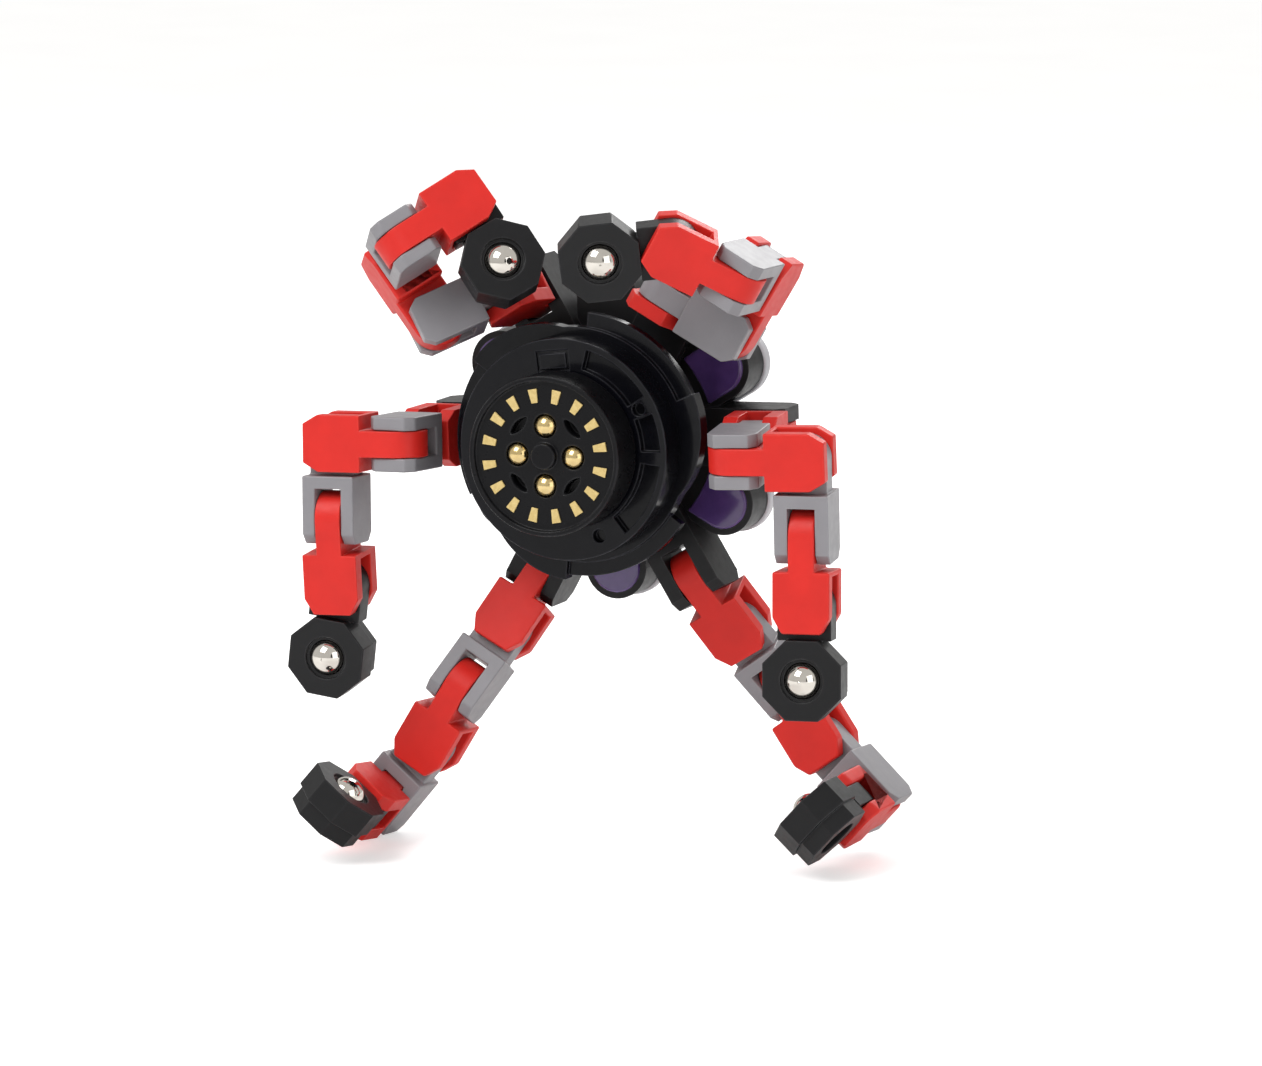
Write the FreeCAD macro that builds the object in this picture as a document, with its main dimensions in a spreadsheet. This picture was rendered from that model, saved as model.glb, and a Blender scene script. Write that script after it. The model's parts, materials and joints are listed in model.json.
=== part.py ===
import FreeCAD, Part
import os
import Sketcher
from math import cos, pi, radians, sin

# A chain-arm fidget spinner. A bearing hub is held between two finger caps, and six jointed arms,
# each a chain of six snap-together links, grow from it. It stands on the two lowest arms.
# Lengths are millimetres. The spin axis is Y and the front finger cap faces -Y. The origin is the
# centre of the flat boss on the front cap. +Z is up, +X is to the right seen from the front.
#
# Each link has its own frame: the origin is the pivot in its tongue, +X runs along the link to the
# pivot in its fork, and Y and Z are across. Red links turn about Y in their tongue and hold the
# next link on a Z pivot. Grey links are the other way round, so every arm bends both ways.

DRIVING_SIZES = {
    # red links
    "red_pitch": 10.5,
    "red_width": 8.7,
    "red_depth": 8.3,
    "red_tongue_thickness": 4.0,
    "red_tongue_radius": 4.15,
    "red_shoulder": 5.1,
    "red_bevel_along": 2.4,
    "red_bevel_across": 1.4,
    # grey links
    "grey_pitch": 11.6,
    "grey_width": 7.6,
    "grey_depth": 8.3,
    "grey_tongue_thickness": 3.6,
    "grey_tongue_radius": 3.6,
    "grey_shoulder": 5.0,
    "grey_bevel_along": 1.5,
    "grey_bevel_across": 1.2,
    # every fork and pivot
    "fork_reach": 3.8,
    "side_gap": 0.1,
    "slot_floor_gap": 0.5,
    "pivot_radius": 1.2,
    "pivot_clearance": 0.05,
    "pivot_length": 0.9,
    # black arm ends, each with a steel ball
    "end_pitch": 10.8,
    "end_flats": 12.0,
    "end_depth": 7.0,
    "end_front_slab": 4.3,
    "end_rear_step": 0.55,
    "end_hole_radius": 3.25,
    "end_tongue_radius": 4.1,
    "end_tongue_thickness": 3.6,
    "end_shoulder": 5.0,
    "end_seat_length": 1.6,
    "ball_forward": 2.2,
    "steel_ball_radius": 2.75,
    # finger caps
    "origin_plane": 0.0,
    "cap_radius": 12.1,
    "cap_rim_width": 0.8,
    "cap_rim_setback": 0.3,
    "cap_face_setback": 1.0,
    "cap_back": 7.2,
    "cap_neck_radius": 5.9,
    "boss_radius": 1.95,
    "bar_circle": 9.1,
    "bar_length": 2.1,
    "bar_inner_width": 1.0,
    "bar_outer_width": 1.45,
    "bar_thickness": 0.3,
    "stud_radius": 1.75,
    "stud_circle": 4.5,
    "stud_setback": 0.1,
    "lens_circle": 6.1,
    "lens_length": 3.8,
    "lens_width": 1.3,
    "lens_sink": 1.8,
    # hub shells, measured back from the origin
    "cover_front": 7.7,
    "cover_back": 13.0,
    "cover_radius": 16.8,
    "neck_hole_radius": 6.6,
    "panel_inner_radius": 12.7,
    "panel_outer_radius": 15.7,
    "panel_sink": 1.2,
    "dimple_radius": 1.0,
    "dimple_circle": 14.0,
    "badge_length": 5.2,
    "badge_height": 3.2,
    "badge_groove": 0.45,
    "badge_circle": 13.4,
    "fin_back": 15.5,
    "fin_base_radius": 17.9,
    "fin_long_radius": 20.8,
    "fin_swirl_radius": 14.4,
    "fin_short_radius": 20.1,
    "fin_short_setback": 0.9,
    "barrel_radius": 15.0,
    "arm_plane": 28.5,
    "arm_pivot_circle": 25.0,
    "arm_root_width": 8.8,
    "arm_root_depth": 8.0,
    "petal_radius": 5.0,
    "petal_centre": 20.6,
    "petal_front": 26.4,
    "neck_start": 12.0,
    "window_radius": 4.0,
    "window_start": 16.8,
    "window_raise": 0.5,
    "window_sink": 0.8,
    "shell_thickness": 2.2,
    "shell_border": 0.35,
    "cap_gap": 0.5,
    "total_depth": 40.6,
    # bearing, the common 22 mm size
    "bearing_width": 7.0,
    "bearing_radius": 11.0,
    "bearing_bore": 4.0,
    "bearing_ball": 1.98,
    "bearing_ball_circle": 7.5,
    "bearing_groove": 2.05,
    "inner_land": 6.1,
    "outer_land": 9.0,
    "shield_thickness": 0.4,
    "shield_gap": 0.15,
    "cage_width": 5.2,
    "cage_wall": 2.0,
    "press_gap": 0.02,
    "axle_radius": 1.5,
    "axle_end_setback": 2.0,
    "spigot_gap": 0.1,
}

DERIVED_SIZES = {
    "red_half_width": "red_width / 2",
    "red_fork_end": "red_pitch + fork_reach",
    "red_bevel_start": "red_fork_end - red_bevel_along",
    "red_bevel_end": "red_half_width - red_bevel_across",
    "red_slot_gap": "grey_tongue_thickness + 2 * side_gap",
    "red_slot_half": "red_slot_gap / 2",
    "red_slot_floor": "red_pitch - end_tongue_radius - slot_floor_gap",
    "red_boss_root": "red_slot_gap + pivot_length",
    "red_boss_gap": "red_slot_gap - 2 * pivot_length",
    "grey_half_width": "grey_width / 2",
    "grey_fork_end": "grey_pitch + fork_reach",
    "grey_bevel_start": "grey_fork_end - grey_bevel_along",
    "grey_bevel_end": "grey_half_width - grey_bevel_across",
    "grey_slot_gap": "red_tongue_thickness + 2 * side_gap",
    "grey_slot_half": "grey_slot_gap / 2",
    "grey_slot_floor": "grey_pitch - red_tongue_radius - slot_floor_gap",
    "grey_boss_root": "grey_slot_gap + pivot_length",
    "grey_boss_gap": "grey_slot_gap - 2 * pivot_length",
    "pivot_hole": "pivot_radius + pivot_clearance",
    "boss_gap_radius": "pivot_radius + side_gap",
    "end_half_flats": "end_flats / 2",
    "end_half_side": "end_half_flats * tan(22.5 deg)",
    "end_near": "end_pitch - end_half_flats",
    "end_far": "end_pitch + end_half_flats",
    "end_low": "end_pitch - end_half_side",
    "end_high": "end_pitch + end_half_side",
    "end_slab_offset": "(end_depth - end_front_slab) / 2",
    "step_half_flats": "end_half_flats - end_rear_step",
    "step_half_side": "step_half_flats * tan(22.5 deg)",
    "step_near": "end_pitch - step_half_flats",
    "step_far": "end_pitch + step_half_flats",
    "step_low": "end_pitch - step_half_side",
    "step_high": "end_pitch + step_half_side",
    "cap_face_radius": "cap_radius - cap_rim_width",
    "bar_inner_edge": "bar_circle - bar_length / 2",
    "bar_outer_edge": "bar_circle + bar_length / 2",
    "stud_depth": "stud_radius + stud_setback",
    "stud_floor": "stud_depth + stud_radius",
    "stud_socket": "stud_radius + press_gap",
    "lens_arc": "(lens_length ^ 2 + lens_width ^ 2) / (4 * lens_width)",
    "lens_offset": "lens_arc - lens_width / 2",
    "lens_floor": "cap_face_setback + lens_sink",
    "panel_floor": "cover_front + panel_sink",
    "fin_short_front": "cover_back + fin_short_setback",
    "barrel_back": "arm_plane + arm_root_depth / 2",
    "arm_slot_floor": "arm_pivot_circle - red_tongue_radius - slot_floor_gap",
    "arm_fork_end": "arm_pivot_circle + fork_reach",
    "arm_bevel_start": "arm_fork_end - grey_bevel_along",
    "arm_root_half_depth": "arm_root_depth / 2",
    "arm_bevel_end": "arm_root_half_depth - grey_bevel_across",
    "window_floor": "petal_front + window_sink",
    "window_front": "petal_front - window_raise",
    "shell_back": "barrel_back + shell_thickness",
    "shell_petal_radius": "petal_radius + shell_border",
    "shell_hole_radius": "cap_radius + cap_gap",
    "bearing_back": "barrel_back",
    "bearing_front": "bearing_back - bearing_width",
    "bearing_middle": "bearing_back - bearing_width / 2",
    "bearing_pocket": "bearing_radius + press_gap",
    "spigot_radius": "bearing_bore - press_gap",
    "cage_inner": "bearing_ball_circle - cage_wall / 2",
    "cage_outer": "bearing_ball_circle + cage_wall / 2",
    "cage_pocket": "bearing_ball + 2 * press_gap",
    "cage_front": "bearing_middle - cage_width / 2",
    "cage_back": "bearing_middle + cage_width / 2",
    "front_shield_back": "bearing_front + shield_thickness",
    "rear_shield_front": "bearing_back - shield_thickness",
    "shield_inner": "inner_land + shield_gap",
    "axle_hole": "axle_radius + press_gap",
    "axle_front": "axle_end_setback",
    "axle_back": "total_depth - axle_end_setback",
    "front_spigot_back": "bearing_middle - spigot_gap",
    "rear_neck_back": "total_depth - bearing_back",
    "rear_spigot_back": "total_depth - bearing_middle - spigot_gap",
}

# The six arms in the order they go round the hub, by the angle of their root from +X towards +Z,
# with the bend of each of their six pivots in degrees in the standing pose.
HUB_TURN = 2
ARMS = {
    "right": (0, (-81, -2, 89, -91, -5, 0)),
    "upper_right": (60, (-83, -90, 89, 95, 64, 34)),
    "upper_left": (120, (-84, 53, 82, -89, 90, -92)),
    "left": (180, (-87, -3, 84, 90, 6, -9)),
    "lower_left": (240, (-25, -2, 20, -9, -94, 0)),
    "lower_right": (300, (19, 4, -22, 12, -87, 1)),
}

BAR_COUNT = 16
STUD_COUNT = 4
BEARING_BALL_COUNT = 7
PETAL_COUNT = 6
PLAIN_PETAL = 1
FIN_COUNT = 3
FIN_LONG_START, FIN_LONG_SPAN = 89, 56
FIN_SHORT_START, FIN_SHORT_SPAN = 25, 61
PANEL_STARTS = (-50, 2, 34)
PANEL_SPANS = (44, 22, 42)
DIMPLE_ANGLES = (29, -65)
BADGE_ANGLE = 97
THROUGH = 40
ALONG_Y = FreeCAD.Rotation(FreeCAD.Vector(1, 0, 0), -90)
HALF_TURN = FreeCAD.Rotation(FreeCAD.Vector(0, 0, 1), 180)

document = FreeCAD.newDocument("chain_arm_spinner")
sheet = document.addObject("Spreadsheet::Sheet", "Sizes")


def fill_sheet():
    """Write every size into the sheet under its own name."""
    rows = list(DRIVING_SIZES.items()) + [(name, "=" + rule) for name, rule in DERIVED_SIZES.items()]
    for row, (name, value) in enumerate(rows, start=1):
        sheet.set("A%d" % row, name)
        sheet.set("B%d" % row, str(value))
        sheet.setAlias("B%d" % row, name)
    document.recompute()


def size(name):
    """The value of a sheet size, which may be written with a leading minus, or be plain 0."""
    if name == "0":
        return 0.0
    if name.startswith("-"):
        return -float(sheet.get(name[1:]))
    return float(sheet.get(name))


def bind(thing, property_name, name):
    """Tie a property to a sheet size, which may be written with a leading minus."""
    rule = "-Sizes." + name[1:] if name.startswith("-") else "Sizes." + name
    thing.setExpression(property_name, rule)


# Part design: sketches on a body's own planes, padded and pocketed evenly to both sides.

def sketch_on(body, plane, lift=None):
    """An empty sketch on one of the body's origin planes, optionally lifted off it."""
    sketch = body.newObject("Sketcher::SketchObject", body.Label + "_sketch")
    support = [feature for feature in body.Origin.OriginFeatures if feature.Role == plane][0]
    sketch.AttachmentSupport = [(support, "")]
    sketch.MapMode = "FlatFace"
    if lift:
        bind(sketch, "AttachmentOffset.Base.z", lift)
    return sketch


def hold_point(sketch, edge, end, x, y):
    """Fix one end of an edge at sheet sizes from the sketch origin."""
    for direction, name in (("DistanceX", x), ("DistanceY", y)):
        index = sketch.addConstraint(Sketcher.Constraint(direction, -1, 1, edge, end, size(name)))
        if name != "0":
            bind(sketch, "Constraints[%d]" % index, name)


def draw_outline(sketch, corners, round_end=False):
    """A closed outline through corners. A round end closes it with a half circle about the origin."""
    points = [FreeCAD.Vector(size(x), size(y), 0) for x, y in corners]
    edge_count = len(points) - 1 if round_end else len(points)
    for edge in range(edge_count):
        sketch.addGeometry(Part.LineSegment(points[edge], points[(edge + 1) % len(points)]))
    for edge in range(edge_count - 1):
        sketch.addConstraint(Sketcher.Constraint("Coincident", edge, 2, edge + 1, 1))
    for edge in range(edge_count):
        hold_point(sketch, edge, 1, *corners[edge])
    last = edge_count - 1
    if round_end:
        circle = Part.Circle(FreeCAD.Vector(0, 0, 0), FreeCAD.Vector(0, 0, 1), points[0].y)
        arc = sketch.addGeometry(Part.ArcOfCircle(circle, pi / 2, 3 * pi / 2))
        hold_point(sketch, last, 2, *corners[-1])
        sketch.addConstraint(Sketcher.Constraint("Coincident", 0, 1, arc, 1))
        sketch.addConstraint(Sketcher.Constraint("Coincident", last, 2, arc, 2))
        sketch.addConstraint(Sketcher.Constraint("DistanceX", -1, 1, arc, 3, 0))
    else:
        sketch.addConstraint(Sketcher.Constraint("Coincident", last, 2, 0, 1))


def draw_circle(sketch, x, radius):
    """A circle on the sketch's horizontal axis."""
    centre = FreeCAD.Vector(size(x), 0, 0)
    edge = sketch.addGeometry(Part.Circle(centre, FreeCAD.Vector(0, 0, 1), size(radius)))
    hold_point(sketch, edge, 3, x, "0")
    index = sketch.addConstraint(Sketcher.Constraint("Radius", edge, size(radius)))
    bind(sketch, "Constraints[%d]" % index, radius)


def pad(body, sketch, length):
    """Add material evenly to both sides of a sketch."""
    feature = body.newObject("PartDesign::Pad", body.Label + "_pad")
    feature.Profile = sketch
    feature.SideType = "Symmetric"
    bind(feature, "Length", length)


def pocket(body, sketch, length=None):
    """Cut evenly to both sides of a sketch, right through where no length is given."""
    feature = body.newObject("PartDesign::Pocket", body.Label + "_pocket")
    feature.Profile = sketch
    feature.SideType = "Symmetric"
    if length:
        bind(feature, "Length", length)
    else:
        feature.Length = THROUGH


def add_tongue(body, colour, plane):
    """A rounded tongue about the link's own pivot, with the hole that snaps over the fork's bosses."""
    radius = colour + "_tongue_radius"
    shoulder = colour + "_shoulder"
    corners = [("0", radius), (shoulder, radius), (shoulder, "-" + radius), ("0", "-" + radius)]
    sketch = sketch_on(body, plane)
    draw_outline(sketch, corners, round_end=True)
    pad(body, sketch, colour + "_tongue_thickness")


def cut_pivot_hole(body, plane):
    sketch = sketch_on(body, plane)
    draw_circle(sketch, "0", "pivot_hole")
    pocket(body, sketch)


def chain_link(label, colour, tongue_plane, fork_plane):
    """A link: a tongue at the origin, a bevelled body, and a fork with two inward pivot bosses."""
    body = document.addObject("PartDesign::Body", label)
    add_tongue(body, colour, tongue_plane)

    half_width, shoulder, fork_end = colour + "_half_width", colour + "_shoulder", colour + "_fork_end"
    bevel_start, bevel_end = colour + "_bevel_start", colour + "_bevel_end"
    sketch = sketch_on(body, fork_plane)
    draw_outline(sketch, [
        (shoulder, "-" + half_width),
        (bevel_start, "-" + half_width),
        (fork_end, "-" + bevel_end),
        (fork_end, bevel_end),
        (bevel_start, half_width),
        (shoulder, half_width),
    ])
    pad(body, sketch, colour + "_depth")

    slot_floor, slot_half, slot_end = colour + "_slot_floor", colour + "_slot_half", colour + "_fork_end"
    sketch = sketch_on(body, tongue_plane)
    draw_outline(sketch, [
        (slot_floor, "-" + slot_half),
        (slot_end, "-" + slot_half),
        (slot_end, slot_half),
        (slot_floor, slot_half),
    ])
    pocket(body, sketch)

    sketch = sketch_on(body, fork_plane)
    draw_circle(sketch, colour + "_pitch", "pivot_radius")
    pad(body, sketch, colour + "_boss_root")
    sketch = sketch_on(body, fork_plane)
    draw_circle(sketch, colour + "_pitch", "boss_gap_radius")
    pocket(body, sketch, colour + "_boss_gap")

    cut_pivot_hole(body, tongue_plane)
    return body


def octagon(near, low, high, far, half_side, half_flats):
    """The corners of an octagon with flats facing along and across the link."""
    return [
        (near, "-" + half_side), (low, "-" + half_flats), (high, "-" + half_flats), (far, "-" + half_side),
        (far, half_side), (high, half_flats), (low, half_flats), (near, half_side),
    ]


def arm_end(label):
    """The black octagonal end: a thick front slab, a stepped-in rear slab and a ring seat for the ball."""
    body = document.addObject("PartDesign::Body", label)
    add_tongue(body, "end", "XY_Plane")
    sketch = sketch_on(body, "XY_Plane")
    draw_outline(sketch, octagon("step_near", "step_low", "step_high", "step_far",
                                 "step_half_side", "step_half_flats"))
    pad(body, sketch, "end_depth")
    sketch = sketch_on(body, "XY_Plane", lift="end_slab_offset")
    draw_outline(sketch, octagon("end_near", "end_low", "end_high", "end_far",
                                 "end_half_side", "end_half_flats"))
    pad(body, sketch, "end_front_slab")

    sketch = sketch_on(body, "XY_Plane")
    draw_circle(sketch, "end_pitch", "end_hole_radius")
    pocket(body, sketch)
    sketch = sketch_on(body, "XY_Plane", lift="ball_forward")
    draw_circle(sketch, "end_pitch", "end_hole_radius")
    draw_circle(sketch, "end_pitch", "steel_ball_radius")
    pad(body, sketch, "end_seat_length")
    cut_pivot_hole(body, "XY_Plane")
    return body


# Primitives and booleans for the round hub parts.

def along_y(label, radius, front, back, x=0.0, z=0.0):
    """A cylinder along +Y between two sheet positions."""
    thing = document.addObject("Part::Cylinder", label)
    bind(thing, "Radius", radius)
    thing.setExpression("Height", "Sizes.%s - Sizes.%s" % (back, front))
    thing.Placement = FreeCAD.Placement(FreeCAD.Vector(x, 0, z), ALONG_Y)
    bind(thing, "Placement.Base.y", front)
    return thing


def sector(label, radius, front, back, start, span):
    """A slice of a cylinder along +Y, from a start angle and over a span measured from +X towards +Z."""
    thing = along_y(label, radius, front, back)
    thing.Angle = span
    turn = FreeCAD.Rotation(FreeCAD.Vector(0, 1, 0), -(start + span))
    thing.Placement = FreeCAD.Placement(thing.Placement.Base, turn * ALONG_Y)
    return thing


def block(label, length, width, height, placement):
    thing = document.addObject("Part::Box", label)
    for side, value in (("Length", length), ("Width", width), ("Height", height)):
        thing.setExpression(side, value)
    thing.Placement = placement
    return thing


def fuse(label, parts):
    thing = document.addObject("Part::MultiFuse", label)
    thing.Shapes = parts
    thing.Refine = True
    return thing


def cut(label, base, tool):
    thing = document.addObject("Part::Cut", label)
    thing.Base = base
    thing.Tool = tool
    return thing


def common(label, parts):
    thing = document.addObject("Part::MultiCommon", label)
    thing.Shapes = parts
    return thing


def ring(label, outer, inner, front, back):
    return cut(label, along_y(label + "_outer", outer, front, back),
               along_y(label + "_inner", inner, front, back))


def turned(angle):
    """A rotation about the spin axis, from +X towards +Z."""
    return FreeCAD.Rotation(FreeCAD.Vector(0, 1, 0), -angle)


def ring_point(radius, angle, y=0.0):
    return FreeCAD.Vector(radius * cos(radians(angle)), y, radius * sin(radians(angle)))


def sphere(label, radius, centre):
    thing = document.addObject("Part::Sphere", label)
    bind(thing, "Radius", radius)
    thing.Placement.Base = centre
    return thing


def cap_bars(label):
    """Sixteen flat bars round the face of a finger cap, wider at their outer end."""
    bars = []
    for number in range(BAR_COUNT):
        bar = document.addObject("Part::Wedge", "%s_%d" % (label, number))
        for edge, rule in (("Xmin", "-Sizes.bar_inner_width / 2"), ("Xmax", "Sizes.bar_inner_width / 2"),
                           ("X2min", "-Sizes.bar_outer_width / 2"), ("X2max", "Sizes.bar_outer_width / 2")):
            bar.setExpression(edge, rule)
        for edge in ("Zmin", "Z2min"):
            setattr(bar, edge, 0)
        for edge in ("Zmax", "Z2max"):
            bind(bar, edge, "bar_thickness")
        bind(bar, "Ymin", "bar_inner_edge")
        bind(bar, "Ymax", "bar_outer_edge")
        # a wedge grows along its Y, so the first turn lays it on the cap with that side outwards
        angle = (number + 0.5) * 360 / BAR_COUNT
        outward = FreeCAD.Rotation(FreeCAD.Vector(0, 1, 0), 90 - angle)
        upright = FreeCAD.Rotation(FreeCAD.Vector(1, 0, 0), 90)
        bar.Placement = FreeCAD.Placement(FreeCAD.Vector(0, size("cap_face_setback"), 0), outward * upright)
        bars.append(bar)
    return fuse(label, bars)


def cap_studs(label):
    """Four polished balls half sunk in the face of a finger cap."""
    studs = []
    for number in range(STUD_COUNT):
        centre = ring_point(size("stud_circle"), number * 360 / STUD_COUNT, size("stud_depth"))
        studs.append(sphere("%s_%d" % (label, number), "stud_radius", centre))
    return fuse(label, studs)


def lens_cutter(label, angle):
    """The overlap of two discs: a pointed lens that lies across the radius."""
    discs = []
    for side in (-1, 1):
        spot = ring_point(size("lens_circle") + side * size("lens_offset"), angle)
        discs.append(along_y("%s_disc_%d" % (label, side + 1), "lens_arc", "cap_rim_setback", "lens_floor",
                             x=spot.x, z=spot.z))
    return common(label, discs)


def finger_cap(label, neck_back, spigot_back):
    """A round finger cap with a rim, a boss, four lens recesses, a neck and a spigot for the bearing."""
    disc = along_y(label + "_disc", "cap_radius", "cap_rim_setback", "cap_back")
    face = along_y(label + "_face", "cap_face_radius", "cap_rim_setback", "cap_face_setback")
    body = fuse(label + "_body", [
        cut(label + "_dish", disc, face),
        along_y(label + "_boss", "boss_radius", "origin_plane", "cap_back"),
        along_y(label + "_neck", "cap_neck_radius", "cap_face_setback", neck_back),
        along_y(label + "_spigot", "spigot_radius", "cap_face_setback", spigot_back),
    ])
    tools = [along_y(label + "_axle_hole", "axle_hole", "axle_front", spigot_back)]
    for number in range(STUD_COUNT):
        quarter = 360 / STUD_COUNT
        spot = ring_point(size("stud_circle"), number * quarter)
        tools.append(along_y("%s_socket_%d" % (label, number), "stud_socket", "cap_rim_setback", "stud_floor",
                             x=spot.x, z=spot.z))
        tools.append(lens_cutter("%s_lens_%d" % (label, number), (number + 0.5) * quarter))
    return cut(label, body, fuse(label + "_tools", tools))


def reverse_to_back(thing):
    """Turn a finished front part round so that it faces backwards at the rear of the stack."""
    thing.Placement = FreeCAD.Placement(FreeCAD.Vector(0, size("total_depth"), 0), HALF_TURN)


def bearing_parts():
    """A shielded ball bearing: two races, a caged ring of balls and two shields."""
    grooves = []
    for label in ("inner_groove", "outer_groove"):
        groove = document.addObject("Part::Torus", label)
        bind(groove, "Radius1", "bearing_ball_circle")
        bind(groove, "Radius2", "bearing_groove")
        groove.Placement = FreeCAD.Placement(FreeCAD.Vector(0, size("bearing_middle"), 0), ALONG_Y)
        grooves.append(groove)
    cut("bearing_inner_race",
        ring("inner_blank", "inner_land", "bearing_bore", "bearing_front", "bearing_back"), grooves[0])
    cut("bearing_outer_race",
        ring("outer_blank", "bearing_radius", "outer_land", "bearing_front", "bearing_back"), grooves[1])
    balls, pockets = [], []
    for number in range(BEARING_BALL_COUNT):
        angle = number * 360 / BEARING_BALL_COUNT
        centre = ring_point(size("bearing_ball_circle"), angle, size("bearing_middle"))
        balls.append(sphere("bearing_ball_%d" % number, "bearing_ball", centre))
        pocket_ball = sphere("cage_pocket_%d" % number, "cage_pocket", centre)
        # the poles point out of the cage's walls, so no pole is left on the finished pocket
        pocket_ball.Placement.Rotation = FreeCAD.Rotation(FreeCAD.Vector(0, 0, 1), ring_point(1, angle))
        pockets.append(pocket_ball)
    fuse("bearing_balls", balls)
    cage = ring("cage_blank", "cage_outer", "cage_inner", "cage_front", "cage_back")
    cut("bearing_cage", cage, fuse("cage_pockets", pockets))
    fuse("bearing_shields", [
        ring("front_shield", "outer_land", "shield_inner", "bearing_front", "front_shield_back"),
        ring("rear_shield", "outer_land", "shield_inner", "rear_shield_front", "bearing_back"),
    ])


def badge_cutter():
    """A plain oblong groove round a plain bar, where a maker would put a mark."""
    angle = BADGE_ANGLE
    centre = ring_point(size("badge_circle"), angle, size("cover_front"))
    upright = FreeCAD.Placement(centre, turned(angle - 90))
    depth = "Sizes.badge_groove"
    outer = block("badge_outer", "Sizes.badge_length", depth, "Sizes.badge_height",
                  upright * FreeCAD.Placement(FreeCAD.Vector(-size("badge_length") / 2, 0,
                                                             -size("badge_height") / 2),
                                              FreeCAD.Rotation()))
    inner_rule = "Sizes.%s - 2 * Sizes.badge_groove"
    border = size("badge_groove")
    inner = block("badge_inner", inner_rule % "badge_length", depth, inner_rule % "badge_height",
                  upright * FreeCAD.Placement(FreeCAD.Vector(border - size("badge_length") / 2, 0,
                                                             border - size("badge_height") / 2),
                                              FreeCAD.Rotation()))
    return cut("badge_groove_ring", outer, inner)


def front_cover():
    """The round cover behind the front cap, with sunken panels, dimples and a plain badge groove."""
    disc = ring("cover_disc", "cover_radius", "neck_hole_radius", "cover_front", "cover_back")
    tools = [badge_cutter()]
    for number, (start, span) in enumerate(zip(PANEL_STARTS, PANEL_SPANS)):
        slice_of_disc = sector("panel_slice_%d" % number, "panel_outer_radius", "cover_front", "panel_floor",
                               start, span)
        core = along_y("panel_core_%d" % number, "panel_inner_radius", "cover_front", "panel_floor")
        tools.append(cut("panel_%d" % number, slice_of_disc, core))
    for number, angle in enumerate(DIMPLE_ANGLES):
        spot = ring_point(size("dimple_circle"), angle)
        tools.append(along_y("dimple_%d" % number, "dimple_radius", "cover_front", "panel_floor",
                             x=spot.x, z=spot.z))
    cut("front_cover", disc, fuse("cover_tools", tools))


def fin_disc():
    """The glossy disc behind the cover, with three long fins and three short ones round its edge.

    A long fin is widest at its trailing corner and spirals in to the base, because its edge is an arc
    of a smaller circle centred towards that corner."""
    parts = [along_y("fin_base", "fin_base_radius", "cover_back", "fin_back")]
    for number in range(FIN_COUNT):
        turn = number * 360 / FIN_COUNT
        corner_angle = FIN_LONG_START + FIN_LONG_SPAN + turn
        spot = ring_point(size("fin_long_radius") - size("fin_swirl_radius"), corner_angle)
        swirl = along_y("fin_swirl_%d" % number, "fin_swirl_radius", "cover_back", "fin_back",
                        x=spot.x, z=spot.z)
        wedge = sector("fin_wedge_%d" % number, "fin_long_radius", "cover_back", "fin_back",
                       FIN_LONG_START + turn, FIN_LONG_SPAN)
        parts.append(common("fin_long_%d" % number, [swirl, wedge]))
        parts.append(sector("fin_short_%d" % number, "fin_short_radius", "fin_short_front", "fin_back",
                            FIN_SHORT_START + turn, FIN_SHORT_SPAN))
    hole = along_y("fin_hole", "neck_hole_radius", "cover_back", "fin_back")
    cut("fin_disc", fuse("fin_blank", parts), hole)


def petal_outline(label, radius, front, back, angle):
    """A petal: a disc out from the hub joined back to it by a straight neck of the same width."""
    centre = ring_point(size("petal_centre"), angle)
    tip = along_y(label + "_tip", radius, front, back, x=centre.x, z=centre.z)
    rise = turned(angle)
    corner = rise.multVec(FreeCAD.Vector(size("neck_start"), 0, -size(radius)))
    corner.y = size(front)
    neck = block(label + "_neck", "Sizes.petal_centre - Sizes.neck_start",
                 "Sizes.%s - Sizes.%s" % (back, front), "2 * Sizes." + radius,
                 FreeCAD.Placement(corner, rise))
    return [tip, neck]


def petal_angles():
    """The petals sit midway between the arms."""
    step = 360 / PETAL_COUNT
    return [HUB_TURN + step / 2 + number * step for number in range(PETAL_COUNT)]


def arm_root(number, angle):
    """One fork of the frame, made in the first arm's place and then turned to its own angle."""
    label = "arm_root_%d" % number
    body = document.addObject("PartDesign::Body", label)
    sketch = sketch_on(body, "XY_Plane")
    draw_outline(sketch, [
        ("neck_start", "-arm_root_half_depth"),
        ("arm_bevel_start", "-arm_root_half_depth"),
        ("arm_fork_end", "-arm_bevel_end"),
        ("arm_fork_end", "arm_bevel_end"),
        ("arm_bevel_start", "arm_root_half_depth"),
        ("neck_start", "arm_root_half_depth"),
    ])
    pad(body, sketch, "arm_root_width")
    sketch = sketch_on(body, "XZ_Plane")
    draw_outline(sketch, [
        ("arm_slot_floor", "-grey_slot_half"),
        ("arm_fork_end", "-grey_slot_half"),
        ("arm_fork_end", "grey_slot_half"),
        ("arm_slot_floor", "grey_slot_half"),
    ])
    pocket(body, sketch)
    sketch = sketch_on(body, "XY_Plane")
    draw_circle(sketch, "arm_pivot_circle", "pivot_radius")
    pad(body, sketch, "grey_boss_root")
    sketch = sketch_on(body, "XY_Plane")
    draw_circle(sketch, "arm_pivot_circle", "boss_gap_radius")
    pocket(body, sketch, "grey_boss_gap")
    body.Placement = FreeCAD.Placement(FreeCAD.Vector(0, size("arm_plane"), 0), turned(angle))
    return body


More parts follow.
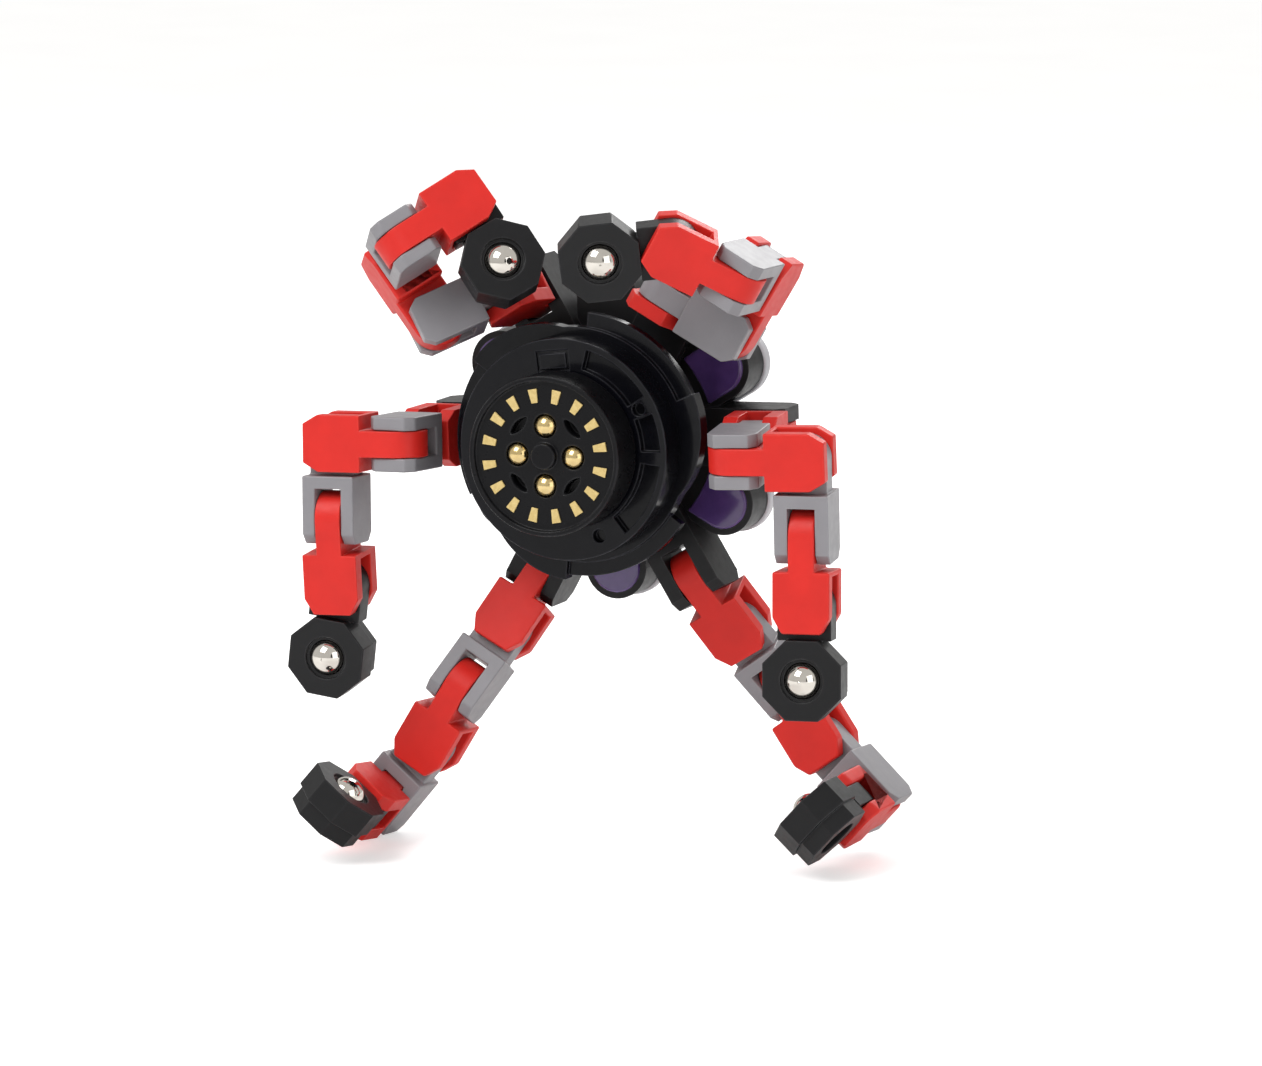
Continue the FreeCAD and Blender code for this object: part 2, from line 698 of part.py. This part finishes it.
def hub_frame():
    """The black frame: a barrel with six forks, six petals and a pocket for the bearing."""
    parts = [along_y("barrel", "barrel_radius", "fin_back", "barrel_back")]
    for number, angle in enumerate(petal_angles()):
        parts += petal_outline("petal_%d" % number, "petal_radius", "petal_front", "barrel_back", angle)
    for number, (root_angle, bends) in enumerate(ARMS.values()):
        parts.append(arm_root(number, root_angle + HUB_TURN))
    tools = [
        along_y("bearing_pocket_cut", "bearing_pocket", "bearing_front", "barrel_back"),
        along_y("neck_way", "neck_hole_radius", "fin_back", "barrel_back"),
        window_panes("window_pockets", "petal_front", "window_floor"),
    ]
    cut("hub_frame", fuse("frame_blank", parts), fuse("frame_tools", tools))


def window_panes(label, front, back):
    """A pane shaped like each petal but the plain top one, trimmed to start clear of the arm forks."""
    panes = []
    for number, angle in enumerate(petal_angles()):
        if number != PLAIN_PETAL:
            panes += petal_outline("%s_%d" % (label, number), "window_radius", front, back, angle)
    trim = along_y(label + "_trim", "window_start", front, back)
    return cut(label, fuse(label + "_blank", panes), trim)


def rear_shell():
    """The light grey back plate, petal shaped like the frame and a little larger."""
    parts = [along_y("shell_disc", "barrel_radius", "barrel_back", "shell_back")]
    for number, angle in enumerate(petal_angles()):
        parts += petal_outline("shell_petal_%d" % number, "shell_petal_radius", "barrel_back", "shell_back",
                               angle)
    hole = along_y("shell_hole", "shell_hole_radius", "barrel_back", "shell_back")
    cut("rear_shell", fuse("shell_blank", parts), hole)


def arm_frame(angle):
    """The frame of an arm's root pivot: X outwards, Z to the front, Y across."""
    outward = ring_point(1, angle)
    forward = FreeCAD.Vector(0, -1, 0)
    across = forward.cross(outward)
    rotation = FreeCAD.Rotation(outward, across, forward, "ZXY")
    return FreeCAD.Placement(ring_point(size("arm_pivot_circle"), angle, size("arm_plane")), rotation)


def build_arm(name, angle, bends):
    """Six links and a ball, each placed on the one before it at its bend in the standing pose."""
    kinds = ("red", "grey", "red", "grey", "red", "end")
    place = arm_frame(angle + HUB_TURN)
    for number, (kind, bend) in enumerate(zip(kinds, bends), start=1):
        pivot_axis = FreeCAD.Vector(0, 1, 0) if kind == "red" else FreeCAD.Vector(0, 0, 1)
        place = place * FreeCAD.Placement(FreeCAD.Vector(0, 0, 0), FreeCAD.Rotation(pivot_axis, bend))
        label = "%s_%d_%s" % (name, number, kind)
        if kind == "red":
            link = chain_link(label, "red", "XZ_Plane", "XY_Plane")
        elif kind == "grey":
            link = chain_link(label, "grey", "XY_Plane", "XZ_Plane")
        else:
            link = arm_end(label)
        link.Placement = place
        place = place * FreeCAD.Placement(FreeCAD.Vector(size(kind + "_pitch"), 0, 0), FreeCAD.Rotation())
    ball = sphere("%s_ball" % name, "steel_ball_radius", place.Base)
    ball.Placement = place * FreeCAD.Placement(FreeCAD.Vector(0, 0, size("ball_forward")), FreeCAD.Rotation())


def check(names):
    """Stop if any object failed, or any finished part is empty or broken."""
    for thing in document.Objects:
        if "Invalid" in thing.State or "Error" in thing.State:
            raise RuntimeError("%s is %s" % (thing.Label, thing.State))
    for name in names:
        shape = document.getObjectsByLabel(name)[0].Shape
        if shape.isNull() or not shape.isValid() or shape.Volume <= 0:
            raise RuntimeError("%s has no good shape" % name)


def export(names):
    os.makedirs("parts", exist_ok=True)
    for name in names:
        document.getObjectsByLabel(name)[0].Shape.exportStep("parts/%s.step" % name)


fill_sheet()
finger_cap("front_cap", "bearing_front", "front_spigot_back")
cap_bars("front_cap_bars")
cap_studs("front_cap_studs")
rear_parts = [
    finger_cap("rear_cap", "rear_neck_back", "rear_spigot_back"),
    cap_bars("rear_cap_bars"),
    cap_studs("rear_cap_studs"),
]
along_y("axle", "axle_radius", "axle_front", "axle_back")
bearing_parts()
front_cover()
fin_disc()
hub_frame()
window_panes("petal_windows", "window_front", "window_floor")
rear_shell()
for arm_name, (root_angle, arm_bends) in ARMS.items():
    build_arm(arm_name, root_angle, arm_bends)
for rear_part in rear_parts:
    reverse_to_back(rear_part)
document.recompute()

HUB_NODES = [
    "front_cap", "front_cap_bars", "front_cap_studs", "rear_cap", "rear_cap_bars", "rear_cap_studs",
    "axle", "bearing_inner_race", "bearing_outer_race", "bearing_balls", "bearing_cage",
    "bearing_shields", "front_cover", "fin_disc", "hub_frame", "petal_windows", "rear_shell",
]
LINK_KINDS = ("1_red", "2_grey", "3_red", "4_grey", "5_red", "6_end", "ball")
nodes = HUB_NODES + ["%s_%s" % (arm_name, kind) for arm_name in ARMS for kind in LINK_KINDS]
check(nodes)
export(nodes)
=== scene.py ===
import json
from math import cos, radians, sin

import bmesh
import bpy
from mathutils import Matrix, Vector


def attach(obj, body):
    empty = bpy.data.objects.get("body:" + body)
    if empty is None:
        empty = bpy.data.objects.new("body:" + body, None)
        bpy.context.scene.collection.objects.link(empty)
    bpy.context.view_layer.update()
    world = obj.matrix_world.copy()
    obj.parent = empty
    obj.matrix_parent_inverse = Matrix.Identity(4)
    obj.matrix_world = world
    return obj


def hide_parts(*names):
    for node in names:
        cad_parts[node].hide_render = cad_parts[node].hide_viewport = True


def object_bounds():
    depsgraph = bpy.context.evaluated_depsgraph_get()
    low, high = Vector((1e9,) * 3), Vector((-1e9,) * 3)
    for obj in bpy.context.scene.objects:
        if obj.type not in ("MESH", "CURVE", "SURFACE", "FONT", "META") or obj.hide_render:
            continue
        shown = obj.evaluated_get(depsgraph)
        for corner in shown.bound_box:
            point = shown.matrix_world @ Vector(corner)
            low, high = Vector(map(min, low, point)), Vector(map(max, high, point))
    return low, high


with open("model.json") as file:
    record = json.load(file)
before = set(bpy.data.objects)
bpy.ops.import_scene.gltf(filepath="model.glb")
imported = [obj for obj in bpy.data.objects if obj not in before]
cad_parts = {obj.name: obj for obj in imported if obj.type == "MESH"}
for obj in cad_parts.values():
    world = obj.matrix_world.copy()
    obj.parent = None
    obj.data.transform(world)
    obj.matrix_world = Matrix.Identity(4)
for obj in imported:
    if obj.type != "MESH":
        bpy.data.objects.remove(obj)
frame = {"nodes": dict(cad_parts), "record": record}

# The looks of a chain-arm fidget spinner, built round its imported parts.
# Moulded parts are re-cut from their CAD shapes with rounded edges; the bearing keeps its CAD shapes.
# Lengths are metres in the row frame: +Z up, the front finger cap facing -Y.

cad_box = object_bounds()
MM = 0.001
RECORD = frame["record"]
NODE_SLOTS = {part["node"]: part["material_slot"] for part in RECORD["subparts"]}
NODE_BODIES = {node: body for body, nodes in RECORD["behaviour"]["bodies"].items() for node in nodes}

# How round each kind of moulding's edges are, in millimetres, and how many facets make each round.
EDGE_ROUNDS = {
    "red_plastic": (0.42, 4),
    "grey_plastic": (0.55, 4),
    "black_plastic": (0.35, 3),
    "gloss_black": (0.40, 4),
    "cap_black": (0.28, 4),
    "flat_gold": (0.06, 2),
    "purple_gloss": (0.45, 4),
    "shell_grey": (0.60, 4),
}

# CAD faces that turn more than the first angle meet at an edge to round. Facets that turn less than the
# second are one flat face. Points closer than the weld are one point.
SHARP_TURN = radians(28)
FLAT_TURN = radians(0.6)
WELD = 0.002 * MM
ROUND_PROFILE = 0.5
FLAT_FACE_WEIGHT = 80

# An edge is paled, as wear and as a painted edge highlight, where rounding it off would turn its normal: the
# dot of the two normals at a fully paled edge and on plain flats.
PALE_EDGE_DOT, PLAIN_FLAT_DOT = 0.86, 0.995
EDGE_WEAR_AND_HIGHLIGHT_RADIUS = 0.35 * MM
EDGE_WEAR_AND_HIGHLIGHT_SAMPLES = 4
# The least and most an edge is paled, as wear and as a painted edge highlight.
WEAR_AND_HIGHLIGHT_LEAST, WEAR_AND_HIGHLIGHT_MOST = 0.15, 0.55

# Moulded plastic. Patches, in millimetres, are how wide the colour, the edge wear and painted edge
# highlight, the sheen and the mould grain vary over.
COLOUR_PATCH, WEAR_AND_HIGHLIGHT_PATCH, SHEEN_PATCH, GRAIN_PATCH = 6.0, 2.2, 1.4, 0.16
COLOUR_DARKEST, COLOUR_PALEST = 0.93, 1.05
SHEEN_DOWN, SHEEN_UP = 0.05, 0.06
GRAIN_DEPTH = 0.012
COAT_ROUGHNESS = 0.06
# How far red, green and blue light spread inside soft plastic, in millimetres.
GLOW_REACH = (1.2, 0.25, 0.2)

# Metal: patches of tarnish, sheen and fine scratches, in millimetres, and the rings of a ground face.
TARNISH_PATCH, METAL_SHEEN_PATCH, SCRATCH_PATCH = 1.8, 0.7, 0.09
TARNISH_MOST = 0.6
SHEEN_LEAST, SHEEN_MOST = 0.8, 1.3
SCRATCH_STRENGTH, SCRATCH_DEPTH = 0.03, 0.004
GROUND_RINGS = 1200.0

# The printed gold bars and the violet panes. Patches and depths are in millimetres.
FOIL_DARK, FOIL_PALE, FOIL_PATCH = (0.60, 0.44, 0.16), (0.72, 0.55, 0.23), 0.5
FOIL_METAL, FOIL_ROUGHNESS = 0.25, 0.45
FOIL_GRAIN_PATCH, FOIL_GRAIN, FOIL_GRAIN_DEPTH = 0.08, 0.15, 0.006
PANE_DARK, PANE_PALE, PANE_PATCH = (0.055, 0.026, 0.125), (0.085, 0.042, 0.18), 4.0
# The panes' colour at glancing angles is a painted sheen; the blend sets how soon it comes in.
PANE_PAINTED_SHEEN, PANE_PAINTED_SHEEN_BLEND = (0.20, 0.13, 0.34), 0.35
PANE_ROUGHNESS, PANE_COAT, PANE_COAT_ROUGHNESS = 0.16, 0.5, 0.05
PANE_WAVE_PATCH, PANE_WAVE, PANE_WAVE_DEPTH = 1.5, 0.05, 0.02

# The camera looks at the spinner from a little to the right and above. Distances are in metres, and the aim
# is how far the picture's centre lies from the row origin, to the right and up the picture. The frame width
# is how much the picture takes in at the camera's distance.
CAMERA_TURN = radians(22.8)
CAMERA_RISE = radians(9.4)
CAMERA_DISTANCE = 1.058
FRAME_WIDTH_THERE = 0.1877
AIM_RIGHT, AIM_UP = 0.0132, -0.0113
CLIP_START = 0.05

# The studio. Each softbox stands off the object towards the camera, to its right and up, in metres, and has
# a width in metres and a power in watts.
# The room's dark patch is what polished balls reflect. It lies in one direction, and its edge and core are
# dots with that direction.
ROOM_LIGHT = 0.62
DARK_PATCH_TURN = CAMERA_TURN + radians(42)
DARK_PATCH_RISE = 0.12
DARK_PATCH_EDGE, DARK_PATCH_CORE = 0.88, 0.93
DARK_PATCH_COLOUR, ROOM_COLOUR = (0.03, 0.03, 0.03), (1.0, 0.99, 0.97)
FLOOR_HALF_WIDTH = 12.0
FLOOR_PATCH, FLOOR_DARK, FLOOR_PALE = 40.0, (0.90, 0.90, 0.90), (0.93, 0.93, 0.93)
FLOOR_GLOW = 0.42
SOFTBOXES = {
    "key": ((0.45, -0.40, 0.50), 0.45, 3.6),
    "fill": ((0.55, 0.50, 0.10), 0.50, 1.2),
    "rim": ((-0.45, 0.25, 0.50), 0.35, 2.0),
}


# Small helpers for building node materials.

def new_material(name):
    """A new material and its node tree, which is still empty."""
    material = bpy.data.materials.new(name)
    material.use_nodes = True
    material.node_tree.nodes.clear()
    return material, material.node_tree


def add_node(tree, kind, **settings):
    """A node with its inputs, or its own properties, set by name."""
    node = tree.nodes.new(kind)
    for name, value in settings.items():
        label = name.replace("_", " ")
        match = [socket for socket in node.inputs if socket.name.lower() == label]
        if match:
            match[0].default_value = value
        else:
            setattr(node, name, value)
    return node


def join(tree, source, target):
    tree.links.new(source, target)


def noise(tree, size_mm, detail=3.0, roughness=0.55):
    """Noise whose blotches are about this many millimetres across, fixed to the part at rest."""
    place = add_node(tree, "ShaderNodeTexCoord")
    texture = add_node(tree, "ShaderNodeTexNoise", scale=1 / (size_mm * MM), detail=detail,
                       roughness=roughness)
    join(tree, place.outputs["Object"], texture.inputs["Vector"])
    return texture.outputs["Fac"]


def spread(tree, source, low, high, start=0.3, end=0.7):
    """A value that runs from low to high as the source runs from start to end, which suit noise."""
    scale = add_node(tree, "ShaderNodeMapRange")
    scale.inputs["From Min"].default_value = start
    scale.inputs["From Max"].default_value = end
    scale.inputs["To Min"].default_value = low
    scale.inputs["To Max"].default_value = high
    join(tree, source, scale.inputs["Value"])
    return scale.outputs["Result"]


def blend_colours(tree, share, first, second):
    """Mix two colours, each an RGB triple or another node's output."""
    mix = add_node(tree, "ShaderNodeMix", data_type="RGBA")
    join(tree, share, mix.inputs["Factor"])
    for slot_name, colour in (("A", first), ("B", second)):
        socket = [s for s in mix.inputs if s.name == slot_name and s.type == "RGBA"][0]
        if isinstance(colour, tuple):
            socket.default_value = colour + (1.0,)
        else:
            join(tree, colour, socket)
    return [s for s in mix.outputs if s.type == "RGBA"][0]


def mottle(tree, size_mm, first, second):
    """Two colours in soft blotches of a size."""
    return blend_colours(tree, spread(tree, noise(tree, size_mm), 0.0, 1.0), first, second)


def edge_wear_and_highlight(tree):
    """How near a point is to an edge, from how far rounding the edges would turn its normal. It places edge
    wear and a painted edge highlight.
    """
    soft = add_node(tree, "ShaderNodeBevel", samples=EDGE_WEAR_AND_HIGHLIGHT_SAMPLES)
    soft.inputs["Radius"].default_value = EDGE_WEAR_AND_HIGHLIGHT_RADIUS
    true = add_node(tree, "ShaderNodeNewGeometry")
    dot = add_node(tree, "ShaderNodeVectorMath", operation="DOT_PRODUCT")
    join(tree, soft.outputs["Normal"], dot.inputs[0])
    join(tree, true.outputs["Normal"], dot.inputs[1])
    return spread(tree, dot.outputs["Value"], 1.0, 0.0, PALE_EDGE_DOT, PLAIN_FLAT_DOT)


def bump(tree, shader, height, strength, depth_mm):
    node = add_node(tree, "ShaderNodeBump", strength=strength)
    node.inputs["Distance"].default_value = depth_mm * MM
    join(tree, height, node.inputs["Height"])
    join(tree, node.outputs["Normal"], shader.inputs["Normal"])


def finish_material(tree, shader):
    output = add_node(tree, "ShaderNodeOutputMaterial")
    join(tree, shader.outputs["BSDF"], output.inputs["Surface"])


def plastic(name, colour, worn_and_highlit_edge, roughness, grain=0.25, specular=0.5, soft=0.0, coat=0.0):
    """Moulded plastic: a slightly mottled colour, paler edges that are partly wear and partly a painted edge
    highlight, and a fine mould grain.
    """
    material, tree = new_material(name)
    shader = add_node(tree, "ShaderNodeBsdfPrincipled")
    darkest = tuple(COLOUR_DARKEST * c for c in colour)
    palest = tuple(COLOUR_PALEST * c for c in colour)
    mottled = mottle(tree, COLOUR_PATCH, darkest, palest)
    # Pale edges: partly wear, partly a painted highlight along the edges.
    wear_and_highlight = edge_wear_and_highlight(tree)
    patchy = add_node(tree, "ShaderNodeMath", operation="MULTIPLY")
    join(tree, wear_and_highlight, patchy.inputs[0])
    join(tree, spread(tree, noise(tree, WEAR_AND_HIGHLIGHT_PATCH), WEAR_AND_HIGHLIGHT_LEAST, WEAR_AND_HIGHLIGHT_MOST), patchy.inputs[1])
    join(tree, blend_colours(tree, patchy.outputs[0], mottled, worn_and_highlit_edge), shader.inputs["Base Color"])
    sheen = spread(tree, noise(tree, SHEEN_PATCH), roughness - SHEEN_DOWN, roughness + SHEEN_UP)
    join(tree, sheen, shader.inputs["Roughness"])
    shader.inputs["Specular IOR Level"].default_value = specular
    shader.inputs["Coat Weight"].default_value = coat
    shader.inputs["Coat Roughness"].default_value = COAT_ROUGHNESS
    if soft:
        shader.inputs["Subsurface Weight"].default_value = soft
        shader.inputs["Subsurface Radius"].default_value = GLOW_REACH
        shader.inputs["Subsurface Scale"].default_value = MM
    bump(tree, shader, noise(tree, GRAIN_PATCH, detail=2.0), grain, GRAIN_DEPTH)
    finish_material(tree, shader)
    return material


def metal(name, colour, tarnish, roughness, lines=0.0):
    """Metal with faint tarnish and hairline scratches. Lines is how strongly it is ground round the axis."""
    material, tree = new_material(name)
    shader = add_node(tree, "ShaderNodeBsdfPrincipled", metallic=1.0)
    stain = spread(tree, noise(tree, TARNISH_PATCH), 0.0, TARNISH_MOST)
    stained = blend_colours(tree, stain, colour, tarnish)
    join(tree, stained, shader.inputs["Base Color"])
    sheen = spread(tree, noise(tree, METAL_SHEEN_PATCH), SHEEN_LEAST * roughness, SHEEN_MOST * roughness)
    join(tree, sheen, shader.inputs["Roughness"])
    if lines:
        place = add_node(tree, "ShaderNodeTexCoord")
        rings = add_node(tree, "ShaderNodeTexWave", wave_type="RINGS", rings_direction="Y",
                         scale=GROUND_RINGS)
        join(tree, place.outputs["Object"], rings.inputs["Vector"])
        fine = rings.outputs["Fac"]
    else:
        fine = noise(tree, SCRATCH_PATCH, detail=2.0)
    bump(tree, shader, fine, max(lines, SCRATCH_STRENGTH), SCRATCH_DEPTH)
    finish_material(tree, shader)
    return material


def printed_gold(name):
    """The flat bars: a pale gold foil, barely metallic, with a fine foil texture."""
    material, tree = new_material(name)
    shader = add_node(tree, "ShaderNodeBsdfPrincipled", metallic=FOIL_METAL, roughness=FOIL_ROUGHNESS)
    foil = mottle(tree, FOIL_PATCH, FOIL_DARK, FOIL_PALE)
    join(tree, foil, shader.inputs["Base Color"])
    bump(tree, shader, noise(tree, FOIL_GRAIN_PATCH), FOIL_GRAIN, FOIL_GRAIN_DEPTH)
    finish_material(tree, shader)
    return material


def tinted_window(name):
    """Deep violet glossy plastic, with a painted sheen that lightens its colour towards glancing angles."""
    material, tree = new_material(name)
    shader = add_node(tree, "ShaderNodeBsdfPrincipled", roughness=PANE_ROUGHNESS)
    # Painted sheen: the pane colour is lightened where the surface turns away from the camera.
    facing = add_node(tree, "ShaderNodeLayerWeight", blend=PANE_PAINTED_SHEEN_BLEND)
    cloud = mottle(tree, PANE_PATCH, PANE_DARK, PANE_PALE)
    painted_sheen = blend_colours(tree, facing.outputs["Facing"], cloud, PANE_PAINTED_SHEEN)
    join(tree, painted_sheen, shader.inputs["Base Color"])
    shader.inputs["Coat Weight"].default_value = PANE_COAT
    shader.inputs["Coat Roughness"].default_value = PANE_COAT_ROUGHNESS
    bump(tree, shader, noise(tree, PANE_WAVE_PATCH), PANE_WAVE, PANE_WAVE_DEPTH)
    finish_material(tree, shader)
    return material


def make_materials():
    """One material for each of the record's material slots."""
    # The second colour of each plastic is its pale edge colour: wear, and also a painted edge highlight,
    # brightest on the black parts.
    return {
        "red_plastic": plastic("moulded_red", (0.66, 0.022, 0.016), (0.80, 0.11, 0.08), 0.42, specular=0.28,
                               soft=0.05),
        "grey_plastic": plastic("moulded_grey", (0.245, 0.238, 0.255), (0.40, 0.395, 0.41), 0.36),
        "black_plastic": plastic("moulded_black", (0.0105, 0.0105, 0.0115), (0.095, 0.095, 0.10), 0.36,
                                 specular=0.24),
        "gloss_black": plastic("glossy_black", (0.0028, 0.0029, 0.0048), (0.10, 0.10, 0.12), 0.20,
                               grain=0.04, specular=0.14, coat=0.12),
        "cap_black": plastic("cap_black", (0.0045, 0.0045, 0.0055), (0.13, 0.13, 0.14), 0.30,
                             grain=0.12, specular=0.16),
        "shell_grey": plastic("shell_light_grey", (0.50, 0.50, 0.53), (0.62, 0.62, 0.64), 0.40),
        "flat_gold": printed_gold("foil_gold"),
        "polished_gold": metal("polished_gold", (0.84, 0.66, 0.33), (0.70, 0.50, 0.20), 0.18),
        "polished_steel": metal("polished_steel", (0.80, 0.76, 0.70), (0.70, 0.66, 0.60), 0.045),
        "bearing_steel": metal("ground_steel", (0.58, 0.58, 0.59), (0.42, 0.42, 0.43), 0.24, lines=0.25),
        "cage_steel": metal("stamped_steel", (0.45, 0.42, 0.38), (0.33, 0.30, 0.26), 0.34),
        "purple_gloss": tinted_window("violet_window"),
    }


# Shapes.

def rounded_mesh(node, radius, facets):
    """A copy of a CAD node's mesh with its flats joined up and its sharp edges rounded."""
    shape = bmesh.new()
    shape.from_mesh(frame["nodes"][node].data)
    bmesh.ops.remove_doubles(shape, verts=shape.verts, dist=WELD)
    bmesh.ops.dissolve_limit(shape, angle_limit=FLAT_TURN, verts=shape.verts, edges=shape.edges)
    sharp = [edge for edge in shape.edges if edge.is_manifold and edge.calc_face_angle() > SHARP_TURN]
    bmesh.ops.bevel(shape, geom=sharp, offset=radius, offset_type="OFFSET", segments=facets,
                    profile=ROUND_PROFILE, affect="EDGES", clamp_overlap=True)
    mesh = bpy.data.meshes.new(node + "_moulded")
    shape.to_mesh(mesh)
    shape.free()
    return mesh


def show_mesh(node, mesh):
    """Put a finished mesh in place of a CAD node, on the node's own body."""
    piece = bpy.data.objects.new(node + "_moulded", mesh)
    bpy.context.scene.collection.objects.link(piece)
    mesh.shade_smooth()
    weights = piece.modifiers.new("even_normals", "WEIGHTED_NORMAL")
    weights.keep_sharp = False
    weights.weight = FLAT_FACE_WEIGHT
    mesh.materials.append(MATERIALS[NODE_SLOTS[node]])
    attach(piece, NODE_BODIES[node])
    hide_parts(node)


def mould_part(node):
    radius, facets = EDGE_ROUNDS[NODE_SLOTS[node]]
    show_mesh(node, rounded_mesh(node, radius * MM, facets))


def dress_cad_node(node):
    """Give a CAD node that keeps its own shape the material of its slot."""
    data = frame["nodes"][node].data
    data.materials.clear()
    data.materials.append(MATERIALS[NODE_SLOTS[node]])
    data.shade_smooth()


# The stage.

def floor_material():
    """A pale, faintly uneven floor, lifted for the camera so that it reads as a studio sweep."""
    material, tree = new_material("studio_floor")
    diffuse = add_node(tree, "ShaderNodeBsdfDiffuse")
    tone = mottle(tree, FLOOR_PATCH, FLOOR_DARK, FLOOR_PALE)
    join(tree, tone, diffuse.inputs["Color"])
    glow = add_node(tree, "ShaderNodeEmission", strength=FLOOR_GLOW)
    seen = add_node(tree, "ShaderNodeLightPath")
    nothing = add_node(tree, "ShaderNodeEmission", strength=0.0)
    lift = add_node(tree, "ShaderNodeMixShader")
    join(tree, seen.outputs["Is Camera Ray"], lift.inputs[0])
    join(tree, nothing.outputs[0], lift.inputs[1])
    join(tree, glow.outputs[0], lift.inputs[2])
    both = add_node(tree, "ShaderNodeAddShader")
    join(tree, diffuse.outputs[0], both.inputs[0])
    join(tree, lift.outputs[0], both.inputs[1])
    output = add_node(tree, "ShaderNodeOutputMaterial")
    join(tree, both.outputs[0], output.inputs["Surface"])
    return material


def add_floor(height):
    """A wide floor just under the feet."""
    half = FLOOR_HALF_WIDTH
    mesh = bpy.data.meshes.new("studio_floor")
    corners = [(-half, -half, height), (half, -half, height), (half, half, height), (-half, half, height)]
    mesh.from_pydata(corners, [], [(0, 1, 2, 3)])
    mesh.materials.append(floor_material())
    floor = bpy.data.objects.new("studio_floor", mesh)
    bpy.context.scene.collection.objects.link(floor)


def add_world():
    """White behind the object, softer light from all round, and a dark patch for polished balls to show."""
    world = bpy.data.worlds.new("studio")
    bpy.context.scene.world = world
    world.use_nodes = True
    tree = world.node_tree
    tree.nodes.clear()
    behind = add_node(tree, "ShaderNodeBackground", strength=1.0)
    behind.inputs["Color"].default_value = (1, 1, 1, 1)
    room = add_node(tree, "ShaderNodeBackground", strength=ROOM_LIGHT)
    ray = add_node(tree, "ShaderNodeTexCoord")
    toward = add_node(tree, "ShaderNodeVectorMath", operation="DOT_PRODUCT")
    join(tree, ray.outputs["Generated"], toward.inputs[0])
    toward.inputs[1].default_value = (sin(DARK_PATCH_TURN), -cos(DARK_PATCH_TURN), DARK_PATCH_RISE)
    share = spread(tree, toward.outputs["Value"], 0.0, 1.0, DARK_PATCH_EDGE, DARK_PATCH_CORE)
    tone = blend_colours(tree, share, ROOM_COLOUR, DARK_PATCH_COLOUR)
    join(tree, tone, room.inputs["Color"])
    seen = add_node(tree, "ShaderNodeLightPath")
    pick = add_node(tree, "ShaderNodeMixShader")
    join(tree, seen.outputs["Is Camera Ray"], pick.inputs[0])
    join(tree, room.outputs[0], pick.inputs[1])
    join(tree, behind.outputs[0], pick.inputs[2])
    output = add_node(tree, "ShaderNodeOutputWorld")
    join(tree, pick.outputs[0], output.inputs["Surface"])


def add_softbox(name, position, aim, width, power):
    """A square area light aimed at a point."""
    light = bpy.data.lights.new(name, "AREA")
    light.size = width
    light.energy = power
    thing = bpy.data.objects.new(name, light)
    thing.location = position
    thing.rotation_euler = (Vector(aim) - Vector(position)).to_track_quat("-Z", "Y").to_euler()
    bpy.context.scene.collection.objects.link(thing)


def view_axes():
    """Unit vectors towards the camera, to its right and up its picture."""
    level = cos(CAMERA_RISE)
    back = Vector((sin(CAMERA_TURN) * level, -cos(CAMERA_TURN) * level, sin(CAMERA_RISE)))
    right = Vector((cos(CAMERA_TURN), sin(CAMERA_TURN), 0))
    return back, right, back.cross(right)


def add_camera():
    back, right, up = view_axes()
    data = bpy.data.cameras.new("camera")
    data.sensor_fit = "HORIZONTAL"
    data.lens = data.sensor_width * CAMERA_DISTANCE / FRAME_WIDTH_THERE
    data.clip_start = CLIP_START
    camera = bpy.data.objects.new("camera", data)
    camera.matrix_world = Matrix.Translation(right * AIM_RIGHT + up * AIM_UP + back * CAMERA_DISTANCE) @ \
        Matrix((right, up, back)).transposed().to_4x4()
    bpy.context.scene.collection.objects.link(camera)
    bpy.context.scene.camera = camera


def light_stage():
    back, right, up = view_axes()
    middle = (Vector(cad_box[0]) + Vector(cad_box[1])) / 2
    for name, (offset, width, power) in SOFTBOXES.items():
        position = middle + back * offset[0] + right * offset[1] + up * offset[2]
        add_softbox(name, position, middle, width, power)


MATERIALS = make_materials()
for cad_node, slot_name in sorted(NODE_SLOTS.items()):
    if slot_name in EDGE_ROUNDS:
        mould_part(cad_node)
    else:
        dress_cad_node(cad_node)

add_floor(float(cad_box[0][2]))
add_world()
light_stage()
add_camera()
bpy.context.scene.view_settings.view_transform = "Standard"
